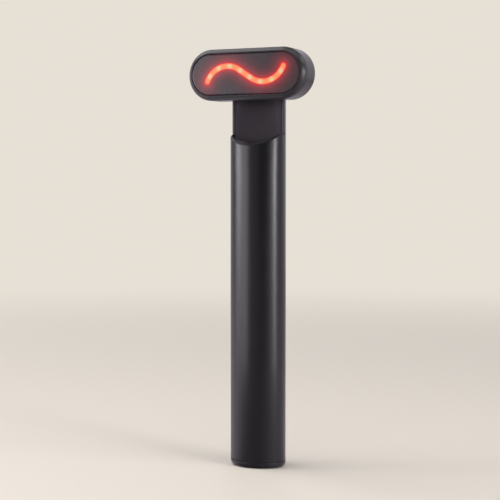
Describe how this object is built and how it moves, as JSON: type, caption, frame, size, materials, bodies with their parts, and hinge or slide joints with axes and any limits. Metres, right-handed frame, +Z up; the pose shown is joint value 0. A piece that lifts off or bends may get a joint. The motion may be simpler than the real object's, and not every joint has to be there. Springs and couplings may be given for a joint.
{
  "type": "red light therapy wand",
  "caption": "Handheld red light wand: oval metal handle, flat recessed neck and a swivelling T head with a wave-shaped light, power button on the back.",
  "frame": {"origin": "middle of the base, in the plane the wand stands on, at the mouth of the charging socket's well", "axes": "+Z up the handle to the head, -Y towards the user (the way the light faces), +X to the right seen from the user"},
  "size_m": [0.0462, 0.0193, 0.1509],
  "materials": {
    "satin_sleeve": "satin black anodised aluminium",
    "neck_plastic": "fine matt black moulded plastic",
    "bezel_plastic": "satin black moulded plastic",
    "shell_plastic": "semi-gloss black moulded plastic",
    "panel": "smoked dark conductive panel",
    "light": "translucent diffuser, lit red",
    "diode": "lit diode packages",
    "rubber": "matt black silicone rubber",
    "circuit_board": "green solder mask",
    "components": "black moulded packages",
    "steel": "bright plated steel",
    "brass": "plain brass",
    "cell_wrap": "shrink sleeve on a steel can",
    "foam": "grey foam",
    "wire_red": "wire insulation",
    "wire_black": "wire insulation",
    "white_plastic": "natural nylon",
    "film": "amber film with an etched heater track",
    "button_plastic": "semi-gloss black moulded plastic"
  },
  "bodies": {
    "handle": {"handle_sleeve": "satin_sleeve", "neck_cover": "neck_plastic", "inner_frame": "neck_plastic", "bottom_cap": "satin_sleeve", "cap_gasket": "rubber", "charge_port": "steel", "charge_board": "circuit_board", "main_board": "circuit_board", "board_parts": "components", "board_screws": "steel", "tact_switch": "components", "loom_plug": "white_plastic", "battery_cell": "cell_wrap", "battery_pads": "foam", "battery_leads": "wire_red", "charge_leads": "wire_black", "motor_can": "steel", "motor_boot": "rubber", "front_washer": "white_plastic", "thrust_washer": "steel", "wire_loom": "wire_red", "button_seal": "rubber"},
    "head": {"rear_shell": "shell_plastic", "seam_gasket": "rubber", "bezel": "bezel_plastic", "front_panel": "panel", "light_guide": "light", "warming_film": "film", "led_board": "circuit_board", "leds": "diode", "contact_pins": "brass", "head_socket": "white_plastic", "led_screws": "steel", "swivel_hub": "steel", "hub_screws": "steel", "disc_spring": "steel", "retaining_clip": "steel"},
    "power_button": {"power_button": "button_plastic", "switch_plunger": "button_plastic"},
    "motor_rotor": {"motor_rotor": "brass"}
  },
  "joints": [
    {"name": "head_swivel", "type": "hinge", "parent": "handle", "child": "head", "pos_m": [0, 0, 0.1418], "axis": [0, -1, 0], "range_deg": [-90, 90]},
    {"name": "power_button_press", "type": "slide", "parent": "handle", "child": "power_button", "axis": [0, -1, 0], "range_m": [0, 0.0005], "stiffness_N_per_m": 1500},
    {"name": "motor_spin", "type": "hinge", "parent": "handle", "child": "motor_rotor", "pos_m": [0, -0.00235, 0.09], "axis": [0, 0, 1], "continuous": true}
  ]
}
